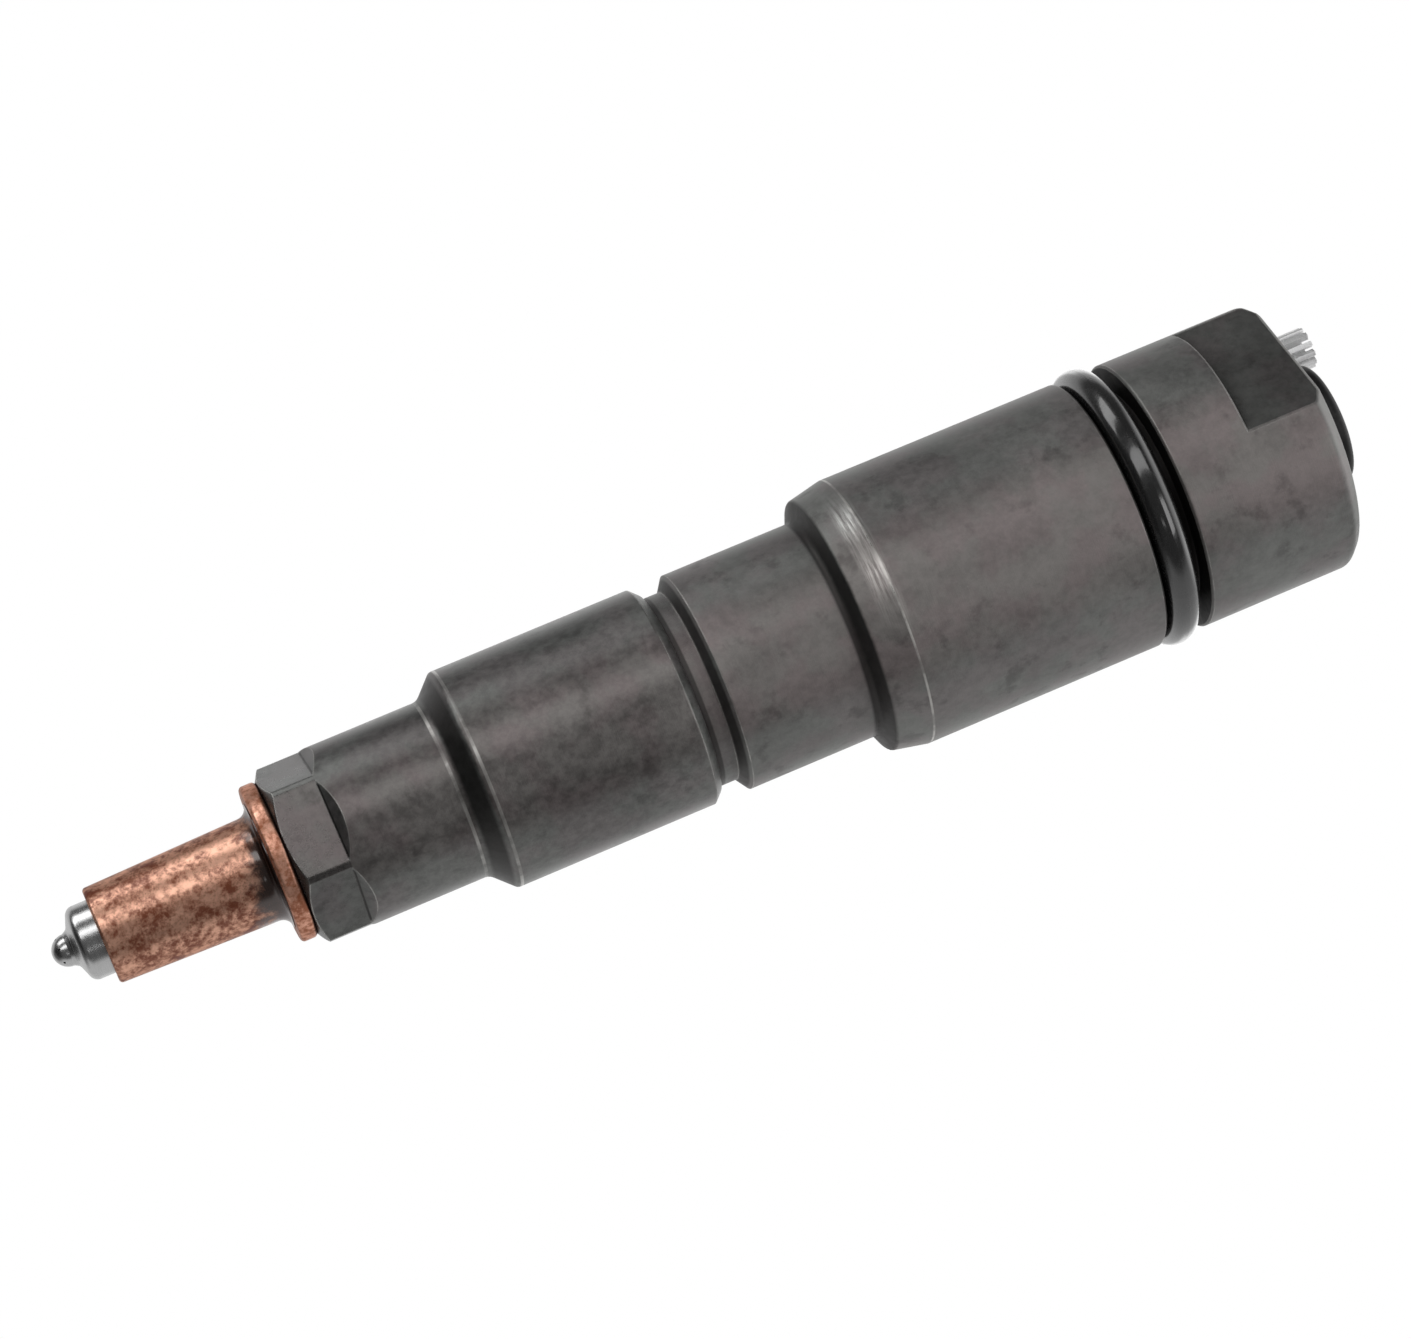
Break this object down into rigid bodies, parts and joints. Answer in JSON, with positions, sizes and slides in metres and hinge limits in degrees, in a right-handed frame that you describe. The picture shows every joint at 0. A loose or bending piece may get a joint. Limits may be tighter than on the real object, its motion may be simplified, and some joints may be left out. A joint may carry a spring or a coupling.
{
  "type": "fuel injector",
  "caption": "Slim stepped diesel injector: hole-type nozzle in a copper heat sleeve, hex-ended retaining nut, sealed round holder with clamp flats, top plug and fluted locating pin.",
  "frame": {"origin": "on the injector axis, in the plane of the sealing washer's lower face", "axes": "+Z along the axis from the nozzle tip towards the clamped head; the clamp flats face +Y and -Y; the fuel inlet and the locating pin are on the -X side"},
  "size_m": [0.0274, 0.0274, 0.1295],
  "materials": {
    "body_phosphate": "dark grey manganese phosphate, mottled",
    "nut_phosphate": "dark grey manganese phosphate, mottled",
    "black_oxide": "black oxide",
    "ground_steel": "ground",
    "lapped_steel": "lapped bright",
    "spring_steel": "drawn wire",
    "bright_steel": "bright",
    "washer_copper": "annealed copper",
    "sleeve_copper": "annealed copper with dark oxide blotches",
    "black_rubber": "moulded, slightly glossy"
  },
  "bodies": {
    "holder": {"holder_body": "body_phosphate", "retaining_nut": "nut_phosphate", "nozzle_body": "ground_steel", "intermediate_plate": "ground_steel", "nozzle_dowel_pins": "lapped_steel", "body_dowel_pins": "lapped_steel", "pressure_spring": "spring_steel", "spring_backing_disc": "ground_steel", "spring_shim": "ground_steel", "trim_shim": "ground_steel", "seal_washer": "washer_copper", "heat_shield_sleeve": "sleeve_copper", "body_o_ring": "black_rubber", "top_plug": "black_oxide", "plug_o_ring": "black_rubber", "locating_pin": "bright_steel"},
    "needle_train": {"nozzle_needle": "lapped_steel", "pressure_pin": "lapped_steel", "spring_seat": "ground_steel"}
  },
  "joints": [
    {"name": "needle_lift", "type": "slide", "parent": "holder", "child": "needle_train", "axis": [0, 0, 1], "range_m": [0, 0.00025], "deforming": ["pressure_spring"]}
  ]
}
